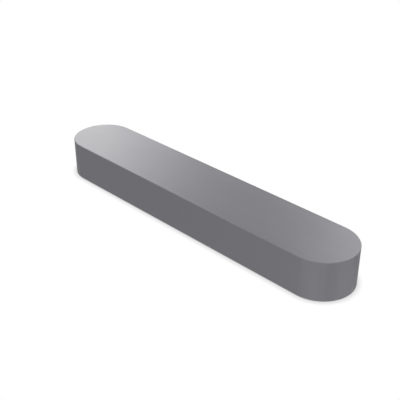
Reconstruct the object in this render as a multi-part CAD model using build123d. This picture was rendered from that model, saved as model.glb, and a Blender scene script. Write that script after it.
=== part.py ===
from build123d import *

import os

# Parallel key with two full-round ends, the 20 x 12 x 110 mm size of the common metric series.
#
# The key is one piece of cold-drawn steel. Its lower part sits in a pocket that an end mill cut into
# the shaft, so each end is half a cylinder as wide as the key. Its upper part stands in the keyway of
# the hub, and the two long flanks carry the torque from one to the other.
#
# The frame is in millimetres: +X runs along the key, +Y across it and +Z from the shaft to the hub.
# The origin is the centre of the bottom face, which rests on the floor of the shaft's pocket.

# Driving dimensions
KEY_WIDTH = 20.0  # between the flanks, and the width of the pocket and the keyway
KEY_HEIGHT = 12.0  # from the face on the shaft's side to the face on the hub's side
KEY_LENGTH = 110.0  # over the round ends
EDGE_BREAK = 0.2  # radius left by deburring, round the outline of both faces

PARTS_FOLDER = "parts"


def key_blank() -> Part:
    """The sharp-edged key: its outline, two flanks joined by half circles, drawn up to its height."""
    with BuildPart() as blank:
        with BuildSketch(Plane.XY):
            SlotOverall(width=KEY_LENGTH, height=KEY_WIDTH)
        extrude(amount=KEY_HEIGHT)
    return blank.part


def parallel_key() -> Part:
    """The finished key: the blank with the edges of its bottom and top faces broken all the way round."""
    with BuildPart() as key:
        add(key_blank())
        lower_face, upper_face = key.faces().filter_by(Axis.Z).sort_by(Axis.Z)
        fillet(lower_face.edges() + upper_face.edges(), radius=EDGE_BREAK)
    return key.part


def main() -> None:
    """Writes the key as a STEP file named after its node."""
    os.makedirs(PARTS_FOLDER, exist_ok=True)
    key = parallel_key()
    key.label = "parallel_key"
    export_step(key, f"{PARTS_FOLDER}/{key.label}.step")


main()
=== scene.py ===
"""Looks of a parallel key with two full-round ends, shown on a white light table.

The key's surface is one profile carried round its outline, in metres and in the frame of its CAD
part: +X along the key, +Y across it, +Z up, and z = 0 where it rests. It wears one steel finish: faint
drawn lines run the length of its bar, upright cutter marks stand on its milled ends, and its broken
edges are rubbed a little brighter than the rest.
"""

import logging
import math
from dataclasses import dataclass, replace
from enum import Enum

import bpy
import numpy as np
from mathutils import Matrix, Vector

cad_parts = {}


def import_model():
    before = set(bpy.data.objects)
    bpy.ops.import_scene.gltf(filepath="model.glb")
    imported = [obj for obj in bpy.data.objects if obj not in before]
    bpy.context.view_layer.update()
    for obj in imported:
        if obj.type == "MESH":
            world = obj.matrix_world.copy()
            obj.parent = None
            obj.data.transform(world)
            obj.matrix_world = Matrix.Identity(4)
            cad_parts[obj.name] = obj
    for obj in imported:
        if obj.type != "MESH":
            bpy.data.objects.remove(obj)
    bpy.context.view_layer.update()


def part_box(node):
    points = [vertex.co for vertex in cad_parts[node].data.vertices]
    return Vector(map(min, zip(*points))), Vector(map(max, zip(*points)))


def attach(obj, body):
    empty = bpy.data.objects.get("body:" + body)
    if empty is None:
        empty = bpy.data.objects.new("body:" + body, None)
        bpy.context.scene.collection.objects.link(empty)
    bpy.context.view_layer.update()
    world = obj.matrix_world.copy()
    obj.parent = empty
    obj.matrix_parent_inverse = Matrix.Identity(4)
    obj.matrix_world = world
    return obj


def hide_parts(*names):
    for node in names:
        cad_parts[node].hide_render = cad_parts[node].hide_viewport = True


MILLIMETRE = 0.001
MICROMETRE = 0.000001
QUARTER_TURN = math.pi / 2.0
WHITE = (1.0, 1.0, 1.0, 1.0)
KEY_NODE = "parallel_key"
KEY_BODY = "root"

# What a node's input takes: the output of another node, to be linked, or a value of its own
Feed = bpy.types.NodeSocket | float | tuple[float, ...]

log = logging.getLogger("parallel_key")


class Mask(Enum):
    """Masks that the key's mesh carries for its finish, each a number from 0 to 1 at every vertex."""

    MILLED_END = "milled_end"
    BROKEN_EDGE = "broken_edge"


class Lay(Enum):
    """Ways in which a tool's lines run over the key."""

    DRAWN_LENGTHWISE = "drawn_lengthwise"
    MILLED_UPRIGHT = "milled_upright"


class Tint(Enum):
    """Tints of the lamps' light, linear red, green and blue."""

    NEUTRAL = (1.0, 1.0, 0.98)
    WARM = (1.0, 1.0, 0.93)


def smooth_rise(values: np.ndarray, start: float, end: float) -> np.ndarray:
    """Rises from 0 at start to 1 at end along 3t^2 - 2t^3, where t is the share of the way.

    Args:
        values: The places to look at.
        start: Where the rise begins.
        end: Where it is complete.

    Returns:
        The height of the rise at each place, from 0 to 1.
    """
    share = np.clip((values - start) / (end - start), 0.0, 1.0)
    return share * share * (3.0 - 2.0 * share)


class Nodes:
    """Builds a node tree with one short call for each node."""

    SPACING = 200.0

    def __init__(self, tree: bpy.types.NodeTree) -> None:
        """Empties the tree and keeps it."""
        self.tree = tree
        self.tree.nodes.clear()

    def add(
        self, kind: str, inputs: dict[str | int, Feed] | None = None, **settings: object
    ) -> bpy.types.Node:
        """Adds a node to the right of the others, sets it up and feeds it.

        Args:
            kind: The node's type, without the "ShaderNode" that all begin with but a group's two ends.
            inputs: What each input gets, by its name or number.
            **settings: The node's own settings by name, which are made before it is fed.

        Returns:
            The new node.
        """
        beginning = "" if kind.startswith("NodeGroup") else "ShaderNode"
        node = self.tree.nodes.new(beginning + kind)
        node.location = (len(self.tree.nodes) * self.SPACING, 0.0)
        for setting, value in settings.items():
            setattr(node, setting, value)
        for key, value in (inputs or {}).items():
            if isinstance(value, bpy.types.NodeSocket):
                self.tree.links.new(value, node.inputs[key])
            else:
                node.inputs[key].default_value = value
        return node

    def math(self, operation: str, *values: Feed) -> bpy.types.NodeSocket:
        """Adds a Math node with these values and returns its result."""
        return self.add("Math", dict(enumerate(values)), operation=operation).outputs[0]

    def mix(self, share: Feed, first: Feed, second: Feed) -> bpy.types.NodeSocket:
        """Mixes two numbers and returns the first at share 0 and the second at share 1."""
        return self.add("Mix", {0: share, 2: first, 3: second}).outputs[0]

    def place(self) -> bpy.types.NodeSocket:
        """Returns the place on the piece, in metres and in the frame of the CAD part."""
        return self.add("TexCoord").outputs["Object"]

    def mask(self, mask: Mask) -> bpy.types.NodeSocket:
        """Returns one of the masks that the mesh carries."""
        return self.add("Attribute", attribute_name=mask.value).outputs["Fac"]

    def noise(
        self, place: Feed, size: float, detail: float = 2.0, roughness: float = 0.5
    ) -> bpy.types.NodeSocket:
        """Adds a soft noise.

        Args:
            place: The coordinates that it reads.
            size: Size of its patches, in the unit of those coordinates.
            detail: How many finer layers lie on the first one, each half as large as the last.
            roughness: Strength of a layer, as a share of that of the one before it.

        Returns:
            The noise, from 0 to 1 with a mean of one half.
        """
        inputs = {"Vector": place, "Scale": 1.0 / size, "Detail": detail, "Roughness": roughness}
        return self.add("TexNoise", inputs).outputs["Fac"]

    def swing(self, noise: Feed) -> bpy.types.NodeSocket:
        """Stretches a noise that runs from 0 to 1, so that it runs from -1 to 1."""
        return self.math("MULTIPLY_ADD", noise, 2.0, -1.0)


def lay_group(bundle: float = 7.0) -> bpy.types.NodeTree:
    """Builds the node group that draws a tool's lines.

    Its vector has the lines' own scale: one unit is one line's width across and one line's length
    along. Fine lines give the height. A coarser noise gathers them into bundles that differ in tone
    and gloss.

    Args:
        bundle: How many lines wide a bundle is.

    Returns:
        The group, with an input Vector and the outputs Height and Tone, both from 0 to 1.
    """
    tree = bpy.data.node_groups.new("machining_lay", "ShaderNodeTree")
    tree.interface.new_socket("Vector", in_out="INPUT", socket_type="NodeSocketVector")
    tree.interface.new_socket("Height", in_out="OUTPUT", socket_type="NodeSocketFloat")
    tree.interface.new_socket("Tone", in_out="OUTPUT", socket_type="NodeSocketFloat")
    nodes = Nodes(tree)
    vector = nodes.add("NodeGroupInput").outputs["Vector"]
    height = nodes.noise(vector, size=1.0, roughness=0.6)
    tone = nodes.noise(vector, size=bundle)
    nodes.add("NodeGroupOutput", {"Height": height, "Tone": tone})
    return tree


@dataclass(frozen=True)
class ToolLine:
    """One of the lines that a tool leaves on the steel.

    Attributes:
        length: Its length, in metres.
        width: Its width.
        depth: Its depth.
    """

    length: float
    width: float
    depth: float


@dataclass(frozen=True)
class SteelFinish:
    """Bright-drawn carbon steel with milled ends.

    Attributes:
        name: The material's name.
        color: Reflectance of the steel, linear red, green and blue.
        edge_tint: Share of its reflectance that is left near grazing angles.
        drawn_roughness: Roughness of the drawn bar.
        milled_roughness: Roughness of the milled ends.
        drawn_line: One of the lines along the drawn bar.
        milled_line: One of the cutter marks on the milled ends.
        tone_swing: Share by which the bundles of lines lighten and darken the steel.
        gloss_swing: How far they move its roughness up and down.
        mottle_size: Size of the soft patches in its tone, in metres.
        mottle_swing: Share by which the patches lighten and darken it.
        rub_size: Size of the patches in which handling has rubbed the edges, in metres.
        edge_gain: Share by which the rubbed edges are lighter.
        edge_polish: How far they are smoother.
    """

    name: str
    color: tuple[float, float, float]
    edge_tint: float
    drawn_roughness: float
    milled_roughness: float
    drawn_line: ToolLine
    milled_line: ToolLine
    tone_swing: float
    gloss_swing: float
    mottle_size: float
    mottle_swing: float
    rub_size: float
    edge_gain: float
    edge_polish: float

    def material(self) -> bpy.types.Material:
        """Builds the finish as a material.

        Returns:
            The material, which reads the key's masks and its outline map.
        """
        steel = bpy.data.materials.new(self.name)
        steel.use_nodes = True
        nodes = Nodes(steel.node_tree)
        lay = lay_group()
        drawn = self.lines(nodes, lay, Lay.DRAWN_LENGTHWISE)
        milled = self.lines(nodes, lay, Lay.MILLED_UPRIGHT)
        end = nodes.mask(Mask.MILLED_END)
        edge = self.rubbed_edge(nodes)
        swing = nodes.swing(nodes.mix(end, drawn.outputs["Tone"], milled.outputs["Tone"]))
        shader = nodes.add("BsdfPrincipled", {
            "Base Color": self.tinted(nodes, swing, edge),
            "Metallic": 1.0,
            "Roughness": self.rough(nodes, end, swing, edge),
            "Specular Tint": (self.edge_tint, self.edge_tint, self.edge_tint, 1.0),
            "Normal": self.relief(nodes, end, drawn, milled),
        })
        nodes.add("OutputMaterial", {"Surface": shader.outputs[0]})
        return steel

    def lines(self, nodes: Nodes, lay: bpy.types.NodeTree, way: Lay) -> bpy.types.Node:
        """Places a tool's lines: drawn ones on object coordinates, cutter marks on the outline map.

        Args:
            nodes: The tree to add to.
            lay: The group that draws the lines.
            way: Which lines to draw.

        Returns:
            The placed group.
        """
        if way is Lay.DRAWN_LENGTHWISE:
            line = self.drawn_line
            place = nodes.place()
            scale = (1.0 / line.length, 1.0 / line.width, 1.0 / line.width)
        else:
            line = self.milled_line
            place = nodes.add("UVMap", uv_map=KeySurface.OUTLINE_MAP).outputs["UV"]
            scale = (1.0 / line.width, 1.0 / line.length, 1.0)
        mapped = nodes.add("Mapping", {"Vector": place, "Scale": scale})
        return nodes.add("Group", {"Vector": mapped.outputs[0]}, node_tree=lay)

    def rubbed_edge(self, nodes: Nodes) -> bpy.types.NodeSocket:
        """Multiplies the edge mask by a noise, because handling rubs an edge here more than there."""
        rubbing = nodes.noise(nodes.place(), self.rub_size, detail=3.0)
        return nodes.math("MULTIPLY", nodes.mask(Mask.BROKEN_EDGE), rubbing)

    def tinted(self, nodes: Nodes, swing: Feed, edge: Feed) -> bpy.types.NodeSocket:
        """Works out the colour: the steel's own, times one plus each small change of tone.

        Args:
            nodes: The tree to add to.
            swing: How far the bundles of lines stand from their mean, from -1 to 1.
            edge: How far the edge is rubbed, from 0 to 1.

        Returns:
            The colour's socket.
        """
        patches = nodes.swing(nodes.noise(nodes.place(), self.mottle_size))
        gain = nodes.math("MULTIPLY_ADD", swing, self.tone_swing, 1.0)
        gain = nodes.math("MULTIPLY_ADD", patches, self.mottle_swing, gain)
        gain = nodes.math("MULTIPLY_ADD", edge, self.edge_gain, gain)
        return nodes.add("VectorMath", {0: self.color, "Scale": gain}, operation="SCALE").outputs[0]

    def rough(self, nodes: Nodes, end: Feed, swing: Feed, edge: Feed) -> bpy.types.NodeSocket:
        """Works out the roughness: that of the bar or of its ends, moved by the lines and the rubbing.

        Args:
            nodes: The tree to add to.
            end: The mask of the milled ends.
            swing: How far the bundles of lines stand from their mean, from -1 to 1.
            edge: How far the edge is rubbed, from 0 to 1.

        Returns:
            The roughness's socket.
        """
        rough = nodes.mix(end, self.drawn_roughness, self.milled_roughness)
        rough = nodes.math("MULTIPLY_ADD", swing, self.gloss_swing, rough)
        return nodes.math("MULTIPLY_ADD", edge, -self.edge_polish, rough)

    def relief(
        self, nodes: Nodes, end: Feed, drawn: bpy.types.Node, milled: bpy.types.Node
    ) -> bpy.types.NodeSocket:
        """Raises the lines: each height, from 0 to 1, times the line's depth in micrometres.

        Args:
            nodes: The tree to add to.
            end: The mask of the milled ends.
            drawn: The drawn lines.
            milled: The cutter marks.

        Returns:
            The normal's socket.
        """
        along = nodes.math("MULTIPLY", drawn.outputs["Height"], self.drawn_line.depth / MICROMETRE)
        upright = nodes.math("MULTIPLY", milled.outputs["Height"], self.milled_line.depth / MICROMETRE)
        height = nodes.mix(end, along, upright)
        return nodes.add("Bump", {"Height": height, "Distance": MICROMETRE}).outputs[0]


@dataclass(frozen=True)
class KeySurface:
    """The key's outer surface, as one closed mesh.

    Attributes:
        low: The lowest corner of the key's box, in metres.
        high: Its highest corner.
        edge_break: Radius of the broken edges round both faces.
        mask_width: How far the milled ends' finish takes to fade into the flanks.
        rub_width: How far the rubbing reaches from a broken edge.
        flank_steps: Divisions along each straight flank.
        end_steps: Divisions round each half-round end.
        face_steps: Divisions from the middle of a face to its edge.
        edge_steps: Divisions over each broken edge.
        wall_steps: Divisions up the wall between the broken edges.
    """

    low: Vector
    high: Vector
    edge_break: float = 0.2 * MILLIMETRE
    mask_width: float = 1.5 * MILLIMETRE
    rub_width: float = 0.25 * MILLIMETRE
    flank_steps: int = 60
    end_steps: int = 96
    face_steps: int = 14
    edge_steps: int = 8
    wall_steps: int = 24

    OUTLINE_MAP = "outline"

    @property
    def radius(self) -> float:
        """The radius of the ends, which is half the key's width."""
        return (self.high.y - self.low.y) / 2.0

    @property
    def straight(self) -> float:
        """Half the length of a straight flank."""
        return (self.high.x - self.low.x) / 2.0 - self.radius

    def outline(self) -> tuple[np.ndarray, np.ndarray, np.ndarray]:
        """Goes round the key once, seen from above against the clock, from the far end of its -Y flank.

        Each step has a foot on the key's middle line and a direction out from it. The foot runs along
        the line beside the flanks and waits at its ends while the direction turns half a circle there.

        Returns:
            For each step, the foot's number along the middle line, its x and the direction's angle.
        """
        along = np.arange(self.flank_steps + 1)
        turn = np.linspace(-QUARTER_TURN, QUARTER_TURN, self.end_steps + 1)[1:-1]
        wait = np.zeros(turn.size, int)
        foot = np.concatenate([along, wait + self.flank_steps, along[::-1], wait])
        x = (foot / self.flank_steps * 2.0 - 1.0) * self.straight
        flank = np.full(along.size, QUARTER_TURN)
        angle = np.concatenate([-flank, turn, flank, turn + math.pi])
        return foot, x, angle

    def profile(self) -> tuple[np.ndarray, np.ndarray, np.ndarray]:
        """Goes from the middle of the bottom face over its edge, up the wall and in over the top face.

        Over a face the way out is the sine of an even step, and up the wall it is the cosine, so that
        the steps are short beside the edges. Over a broken edge it is a quarter circle, whose middle is
        one edge radius inside the wall and the face.

        Returns:
            For each step, the distance out from the middle line, the height and the normal's tilt.
        """
        inner = self.radius - self.edge_break
        low, high = self.low.z + self.edge_break, self.high.z - self.edge_break
        face = inner * np.sin(np.linspace(0.0, QUARTER_TURN, self.face_steps + 1))[1:-1]
        climb = np.cos(np.linspace(0.0, math.pi, self.wall_steps + 1))[1:-1]
        rise = low + (high - low) * (1.0 - climb) / 2.0
        curl = np.linspace(-QUARTER_TURN, 0.0, self.edge_steps + 1)
        out = np.concatenate([
            face,
            inner + self.edge_break * np.cos(curl),
            np.full(rise.size, self.radius),
            inner + self.edge_break * np.cos(curl[::-1]),
            face[::-1],
        ])
        height = np.concatenate([
            np.full(face.size, self.low.z),
            low + self.edge_break * np.sin(curl),
            rise,
            high - self.edge_break * np.sin(curl[::-1]),
            np.full(face.size, self.high.z),
        ])
        tilt = np.concatenate([
            np.full(face.size, -QUARTER_TURN),
            curl,
            np.zeros(rise.size),
            -curl[::-1],
            np.full(face.size, QUARTER_TURN),
        ])
        return out, height, tilt

    def distances(self) -> tuple[np.ndarray, np.ndarray]:
        """Measures the way round the outline and the way along the profile.

        Each is the running sum of its steps. Round the outline a step's length is how far the foot
        moves, or the radius times the turn. Along the profile it is the straight way to the next step.

        Returns:
            The distance at each step round the outline and at its close, and the distance at each step
            of the profile from one middle line to the other.
        """
        _, x, angle = self.outline()
        out, height, _ = self.profile()
        across = np.append(x, x[0]), np.append(angle, angle[0] + 2.0 * math.pi)
        up = np.pad(out, 1), np.pad(height, 1, mode="edge")
        rounds = np.hypot(np.diff(across[0]), self.radius * np.diff(across[1]))
        rises = np.hypot(np.diff(up[0]), np.diff(up[1]))
        return np.append(0.0, np.cumsum(rounds)), np.append(0.0, np.cumsum(rises))

    def points(self) -> tuple[np.ndarray, np.ndarray]:
        """Places every vertex: the foot, plus the way out along the direction, plus the height.

        Returns:
            The vertices and their normals: first the bottom's middle line, then one ring for each step
            of the profile, and last the top's middle line.
        """
        _, x, angle = self.outline()
        out, height, tilt = self.profile()
        middle = (self.low + self.high) / 2.0
        still = np.zeros(angle.size)
        rings = np.stack([
            middle.x + x + np.outer(out, np.cos(angle)),
            middle.y + np.outer(out, np.sin(angle)),
            height[:, None] + still,
        ], 2)
        normals = np.stack([
            np.outer(np.cos(tilt), np.cos(angle)),
            np.outer(np.cos(tilt), np.sin(angle)),
            np.sin(tilt)[:, None] + still,
        ], 2)
        line = np.zeros((2, self.flank_steps + 1, 3))
        line[:, :, 0] = middle.x + x[: self.flank_steps + 1]
        line[:, :, 1] = middle.y
        line[:, :, 2] = [[self.low.z], [self.high.z]]
        facing = np.zeros_like(line)
        facing[:, :, 2] = [[-1.0], [1.0]]
        return (
            np.concatenate([line[0], rings.reshape(-1, 3), line[1]]),
            np.concatenate([facing[0], normals.reshape(-1, 3), facing[1]]),
        )

    def masks(self) -> dict[Mask, np.ndarray]:
        """Works out the finish's masks at every vertex.

        An end is milled from its tangent line on, which is where the foot stops and the turn begins, and
        only on the wall: the cosine of the tilt is 1 there and 0 on the faces. An edge is rubbed over its
        quarter circle and a little way past it on both sides.

        Returns:
            Each mask's numbers, from 0 to 1, in the order of the vertices.
        """
        _, x, angle = self.outline()
        out, height, tilt = self.profile()
        turned = QUARTER_TURN - np.abs((angle + QUARTER_TURN) % math.pi - QUARTER_TURN)
        past_tangent = np.abs(x) - self.straight + self.radius * turned
        milled = smooth_rise(past_tangent, -self.mask_width / 2.0, self.mask_width / 2.0)
        inner = self.radius - self.edge_break
        up_the_wall = np.minimum(height - self.low.z, self.high.z - height) - self.edge_break
        from_edge = np.maximum(inner - out, 0.0) + np.maximum(up_the_wall, 0.0)
        rubbed = 1.0 - smooth_rise(from_edge, 0.0, self.rub_width)
        rings = {
            Mask.MILLED_END: np.outer(np.cos(tilt), milled),
            Mask.BROKEN_EDGE: np.outer(rubbed, np.ones(x.size)),
        }
        return {mask: np.pad(ring.ravel(), self.flank_steps + 1) for mask, ring in rings.items()}

    def faces(self) -> tuple[list[list[int]], np.ndarray]:
        """Joins the vertices to faces that point outwards, and lays them out on the outline map.

        Each ring meets the next in quads, step by step, and the two middle lines count as rings too.
        Where the foot waits at an end of the middle line, the quad beside it shrinks to a triangle. On
        the map, a corner lies at its distance round the outline and its distance along the profile.

        Returns:
            The faces as vertex numbers, and the place of each of their corners on the map.
        """
        foot, _, _ = self.outline()
        rounds, rises = self.distances()
        here = np.arange(foot.size)
        after = (here + 1) % foot.size
        rings = self.profile()[0].size
        number = np.concatenate([
            foot[None],
            foot.max() + 1 + here.size * np.arange(rings)[:, None] + here,
            foot[None] + foot.max() + 1 + here.size * rings,
        ])
        cells = np.stack([number[:-1, here], number[:-1, after], number[1:, after], number[1:, here]], 2)
        places = np.stack(np.broadcast_arrays(
            np.stack([rounds[here], rounds[here + 1], rounds[here + 1], rounds[here]], 1),
            np.stack([rises[:-1], rises[:-1], rises[1:], rises[1:]], 1)[:, None],
        ), 3)
        waits = foot[here] == foot[after]
        whole = np.ones(cells.shape[:2], bool)
        whole[[0, -1]] = ~waits
        lower, upper = [0, 2, 3], [0, 1, 2]
        parts = [
            (cells[whole], places[whole]),
            (cells[0, waits][:, lower], places[0, waits][:, lower]),
            (cells[-1, waits][:, upper], places[-1, waits][:, upper]),
        ]
        faces = [face for corners, _ in parts for face in corners.tolist()]
        return faces, np.concatenate([place.reshape(-1, 2) for _, place in parts])

    def build(self, name: str) -> bpy.types.Object:
        """Makes the surface's mesh and puts it in the scene.

        Args:
            name: The piece's name.

        Returns:
            The piece, with its own normals, its outline map and its masks.
        """
        points, normals = self.points()
        faces, places = self.faces()
        mesh = bpy.data.meshes.new(name)
        mesh.from_pydata(points.tolist(), [], faces)
        outline_map = mesh.uv_layers.new(name=self.OUTLINE_MAP)
        outline_map.uv.foreach_set("vector", places.astype(np.float32).ravel())
        for mask, values in self.masks().items():
            layer = mesh.attributes.new(mask.value, "FLOAT", "POINT")
            layer.data.foreach_set("value", values.astype(np.float32))
        mesh.shade_smooth()
        mesh.normals_split_custom_set_from_vertices(normals.tolist())
        piece = bpy.data.objects.new(name, mesh)
        bpy.context.scene.collection.objects.link(piece)
        return piece


@dataclass(frozen=True)
class ParallelKey:
    """The key: its surface, its finish, and the CAD part that it stands for.

    Attributes:
        surface: The surface.
        finish: The finish of all of it.
    """

    surface: KeySurface
    finish: SteelFinish

    def build(self) -> bpy.types.Object:
        """Builds the key, dresses it and ties it to its CAD part.

        Returns:
            The piece.
        """
        piece = self.surface.build("key_bar")
        piece.data.materials.append(self.finish.material())
        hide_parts(KEY_NODE)
        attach(piece, KEY_BODY)
        log.info("%s: %d faces", piece.name, len(piece.data.polygons))
        return piece


@dataclass(frozen=True)
class LightTable:
    """A white translucent table top that glows evenly, darker only where the key stands on it, through a
    shadow painted into its glow.

    Attributes:
        height: The height at which the key rests, in metres.
        gap: How far below that the top lies, so that the two don't share a plane.
        half_size: Half the side of the square top.
        shade_reach: How far the painted shadow reaches from the key's foot.
        shade_depth: Share of the glow that the painted shadow would take where the key hid the whole sky.
        shade_rays: Rays that look for the key from a spot on the top, to size the painted shadow there.
        paint: How much light the top throws back at what isn't a mirror.
    """

    height: float
    gap: float = 0.01 * MILLIMETRE
    half_size: float = 2.0
    shade_reach: float = 1.9 * MILLIMETRE
    shade_depth: float = 0.60
    shade_rays: int = 16
    paint: float = 0.8

    def build(self) -> bpy.types.Object:
        """Builds the table top.

        Returns:
            The table top.
        """
        side = self.half_size * np.array([[-1.0, -1.0], [1.0, -1.0], [1.0, 1.0], [-1.0, 1.0]])
        corners = np.pad(side, ((0, 0), (0, 1)), constant_values=self.height - self.gap)
        mesh = bpy.data.meshes.new("table_top")
        mesh.from_pydata(corners.tolist(), [], [[0, 1, 2, 3]])
        top = bpy.data.objects.new("table_top", mesh)
        bpy.context.scene.collection.objects.link(top)
        mesh.materials.append(self.material())
        log.info("%s: %.1f m square", top.name, 2.0 * self.half_size)
        return top

    def material(self) -> bpy.types.Material:
        """Builds the table's acrylic: it shows as white, in mirrors too, and lets lamps shine up through.
        Round the key's foot the camera alone sees a painted shadow in its glow.

        It isn't sampled as a lamp. Sampling overlooks that only some rays see the glow, and it would
        darken what the key mirrors.

        Returns:
            The material.
        """
        acrylic = bpy.data.materials.new("white_acrylic")
        acrylic.use_nodes = True
        acrylic.cycles.emission_sampling = "NONE"
        nodes = Nodes(acrylic.node_tree)
        path = nodes.add("LightPath")
        # Painted shadow: the glow dims where the key hides the sky within a short reach, and only camera
        # rays see it
        near = nodes.add("AmbientOcclusion", {"Distance": self.shade_reach}, samples=self.shade_rays)
        hidden = nodes.math("SUBTRACT", 1.0, near.outputs["AO"])
        painted_shadow = nodes.math("MULTIPLY", hidden, path.outputs["Is Camera Ray"])
        glow = nodes.math("MULTIPLY_ADD", painted_shadow, -self.shade_depth, 1.0)
        shown = nodes.add("Emission", {"Color": WHITE, "Strength": glow})
        dull = nodes.add("BsdfDiffuse", {"Color": (self.paint, self.paint, self.paint, 1.0)})
        seen = background_rays(nodes, path)
        surface = nodes.add("MixShader", {0: seen, 1: dull.outputs[0], 2: shown.outputs[0]})
        below = nodes.add("NewGeometry").outputs["Backfacing"]
        through = nodes.math("MAXIMUM", below, path.outputs["Is Shadow Ray"])
        clear = nodes.add("BsdfTransparent")
        mixed = nodes.add("MixShader", {0: through, 1: surface.outputs[0], 2: clear.outputs[0]})
        nodes.add("OutputMaterial", {"Surface": mixed.outputs[0]})
        return acrylic


def background_rays(nodes: Nodes, path: bpy.types.Node) -> bpy.types.NodeSocket:
    """Adds up the rays that see the background: those of the camera, of mirrors and of glass.

    Args:
        nodes: The tree to add to.
        path: Its Light Path node.

    Returns:
        1 for such a ray and 0 for any other.
    """
    direct = nodes.math("ADD", path.outputs["Is Camera Ray"], path.outputs["Is Glossy Ray"])
    return nodes.add(
        "Math", {0: direct, 1: path.outputs["Is Transmission Ray"]}, operation="ADD", use_clamp=True
    ).outputs[0]


@dataclass(frozen=True)
class RingSide:
    """One side of a ring of softboxes.

    Attributes:
        turn: How far round the table it stands, in whole degrees.
        share: How bright its softboxes are, as a share of those that it repeats.
    """

    turn: int
    share: float


@dataclass(frozen=True)
class Softbox:
    """A soft lamp that looks at the key.

    Attributes:
        name: The lamp's name.
        azimuth: Its direction from the key in degrees, from +X towards +Y.
        elevation: Its height above the horizon in degrees.
        width: Its width, in metres.
        height: Its height, in metres.
        radiance: The brightness of its face, where white paint in full light has 1.
        tint: The tint of its light.
        distance: Its distance from the key, in metres.
    """

    name: str
    azimuth: float
    elevation: float
    width: float
    height: float
    radiance: float
    tint: Tint = Tint.NEUTRAL
    distance: float = 0.6

    def on_side(self, side: RingSide) -> "Softbox":
        """Returns the copy of the softbox that stands on a side of the ring."""
        return replace(
            self,
            name=f"{self.name}_{side.turn:03d}",
            azimuth=self.azimuth + side.turn,
            radiance=self.radiance * side.share,
        )

    def build(self, target: Vector) -> bpy.types.Object:
        """Builds the lamp.

        A lamp's power is its brightness times its area times pi. The light of one below the horizon
        comes up through the table, but a mirror ray doesn't pass it, so such rays don't look for it.

        Args:
            target: The point that it faces.

        Returns:
            The lamp.
        """
        azimuth, elevation = math.radians(self.azimuth), math.radians(self.elevation)
        way = Vector((
            math.cos(azimuth) * math.cos(elevation),
            math.sin(azimuth) * math.cos(elevation),
            math.sin(elevation),
        ))
        light = bpy.data.lights.new(self.name, "AREA")
        light.shape = "RECTANGLE"
        light.size = self.width
        light.size_y = self.height
        light.energy = self.radiance * math.pi * self.width * self.height
        light.color = self.tint.value
        light.cycles.use_multiple_importance_sampling = self.elevation > 0.0
        lamp = bpy.data.objects.new(self.name, light)
        lamp.location = target + way * self.distance
        lamp.rotation_euler = (-way).to_track_quat("-Z", "Y").to_euler()
        lamp.visible_camera = False
        bpy.context.scene.collection.objects.link(lamp)
        return lamp


@dataclass(frozen=True)
class Studio:
    """The light round the key: a white room, a ring of softboxes, and lamps overhead and under the table.

    Attributes:
        softboxes: The softboxes that each side of the ring repeats.
        ring: The sides of the ring.
        single_lamps: The lamps that aren't repeated. Those below the horizon shine up through the table.
        fill: How bright the room is for what isn't a mirror, where white paint in full light has 1.
    """

    softboxes: tuple[Softbox, ...]
    ring: tuple[RingSide, ...]
    single_lamps: tuple[Softbox, ...]
    fill: float = 0.3

    def build(self, target: Vector) -> None:
        """Builds the room and its lamps.

        Args:
            target: The point that the lamps face.
        """
        scene = bpy.context.scene
        scene.world = self.room()
        scene.view_settings.view_transform = "Standard"
        ring = [softbox.on_side(side) for softbox in self.softboxes for side in self.ring]
        for lamp in (*ring, *self.single_lamps):
            lamp.build(target)
        log.info("studio: %d softboxes in the ring, %d single lamps", len(ring), len(self.single_lamps))

    def room(self) -> bpy.types.World:
        """Builds the room: mirrors see it white, and what isn't a mirror gets the fill from it.

        Like the table, it isn't sampled as a lamp.

        Returns:
            The room, as a world.
        """
        world = bpy.data.worlds.new("white_room")
        world.use_nodes = True
        world.cycles.sampling_method = "NONE"
        nodes = Nodes(world.node_tree)
        seen = background_rays(nodes, nodes.add("LightPath"))
        walls = nodes.add("Background", {"Color": WHITE, "Strength": nodes.mix(seen, self.fill, 1.0)})
        nodes.add("OutputWorld", {"Surface": walls.outputs[0]})
        return world


@dataclass(frozen=True)
class ViewPoint:
    """Where the camera stands.

    Attributes:
        azimuth: Its direction from the key in degrees, from -Y towards +X.
        elevation: Its height above the horizon in degrees.
        distance: Its distance from the key's middle, in metres.
        angle: Its angle of view in degrees.
        near_limit: How near to it things begin to show, in metres.
    """

    azimuth: float
    elevation: float
    distance: float
    angle: float
    near_limit: float = 10.0 * MILLIMETRE

    def build(self, target: Vector) -> bpy.types.Object:
        """Builds the camera and makes it the scene's.

        Args:
            target: The point that it looks at.

        Returns:
            The camera.
        """
        azimuth, elevation = math.radians(self.azimuth), math.radians(self.elevation)
        back = Vector((
            math.sin(azimuth) * math.cos(elevation),
            -math.cos(azimuth) * math.cos(elevation),
            math.sin(elevation),
        ))
        data = bpy.data.cameras.new("camera")
        data.angle = math.radians(self.angle)
        data.clip_start = self.near_limit
        camera = bpy.data.objects.new("camera", data)
        camera.location = target + back * self.distance
        camera.rotation_euler = (-back).to_track_quat("-Z", "Y").to_euler()
        bpy.context.scene.collection.objects.link(camera)
        bpy.context.scene.camera = camera
        log.info("camera: %.0f mm from the key", self.distance / MILLIMETRE)
        return camera


BRIGHT_DRAWN_STEEL = SteelFinish(
    name="bright_drawn_steel",
    color=(0.150, 0.150, 0.163),
    edge_tint=0.60,
    drawn_roughness=0.33,
    milled_roughness=0.44,
    drawn_line=ToolLine(length=30.0 * MILLIMETRE, width=0.06 * MILLIMETRE, depth=0.6 * MICROMETRE),
    milled_line=ToolLine(length=30.0 * MILLIMETRE, width=0.12 * MILLIMETRE, depth=0.8 * MICROMETRE),
    tone_swing=0.06,
    gloss_swing=0.03,
    mottle_size=14.0 * MILLIMETRE,
    mottle_swing=0.03,
    rub_size=4.0 * MILLIMETRE,
    edge_gain=0.05,
    edge_polish=0.03,
)

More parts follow.
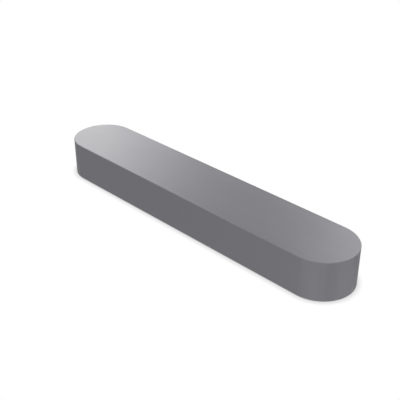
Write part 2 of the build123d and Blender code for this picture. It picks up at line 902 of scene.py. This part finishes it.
# The top mirrors these in a view from the front right: a strip low behind the key, a small spot over it,
# and a softbox to either side
SOFTBOXES = (
    Softbox("far_strip", azimuth=133.0, elevation=15.0, width=0.38, height=0.17, radiance=2.7),
    Softbox(
        "far_spot",
        azimuth=140.0, elevation=23.5, width=0.06, height=0.06, radiance=4.0, tint=Tint.WARM,
    ),
    Softbox(
        "left_softbox",
        azimuth=152.0, elevation=22.5, width=0.16, height=0.20, radiance=3.75, tint=Tint.WARM,
    ),
    Softbox(
        "right_softbox",
        azimuth=109.5, elevation=29.0, width=0.17, height=0.32, radiance=1.8, tint=Tint.WARM,
    ),
)

# The same again on the other sides, weaker there, so that the broken edges towards the viewer stay quiet
RING = (
    RingSide(turn=0, share=1.0),
    RingSide(turn=90, share=0.35),
    RingSide(turn=180, share=0.6),
    RingSide(turn=270, share=0.35),
)

# Overhead, then the lofts over two corners, the walls of the room, and the panels under the table
SINGLE_LAMPS = (
    Softbox("ceiling", azimuth=135.0, elevation=76.0, width=0.26, height=0.26, radiance=1.4),
    Softbox("left_loft", azimuth=-135.0, elevation=42.0, width=0.20, height=0.24, radiance=0.8),
    Softbox("right_loft", azimuth=45.0, elevation=42.0, width=0.20, height=0.24, radiance=1.0),
    Softbox("far_wall", azimuth=90.0, elevation=30.0, width=0.36, height=0.40, radiance=1.2),
    Softbox("left_wall", azimuth=180.0, elevation=30.0, width=0.36, height=0.40, radiance=1.0),
    Softbox("near_wall", azimuth=-90.0, elevation=30.0, width=0.36, height=0.40, radiance=0.6),
    Softbox("right_wall", azimuth=0.0, elevation=30.0, width=0.36, height=0.40, radiance=0.6),
    Softbox("left_strip", azimuth=-165.0, elevation=-40.0, width=0.06, height=0.42, radiance=1.3),
    Softbox("front_panel", azimuth=-93.0, elevation=-32.0, width=0.42, height=0.42, radiance=0.35),
    Softbox("near_panel", azimuth=-50.0, elevation=-45.0, width=0.42, height=0.42, radiance=0.45),
    Softbox("right_panel", azimuth=11.0, elevation=-37.0, width=0.42, height=0.42, radiance=0.45),
    Softbox("far_panel", azimuth=55.0, elevation=-41.0, width=0.32, height=0.42, radiance=0.65),
)

VIEW_POINT = ViewPoint(azimuth=45.0, elevation=30.0, distance=0.2244, angle=30.0)


def main() -> None:
    """Builds the key, the table that it stands on, the studio and the camera."""
    logging.basicConfig(level=logging.INFO, format="%(name)s: %(message)s")
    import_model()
    low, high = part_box(KEY_NODE)
    middle = (low + high) / 2.0
    ParallelKey(KeySurface(low, high), BRIGHT_DRAWN_STEEL).build()
    LightTable(height=low.z).build()
    Studio(SOFTBOXES, RING, SINGLE_LAMPS).build(middle)
    VIEW_POINT.build(middle)


if __name__ == "__main__":
    main()
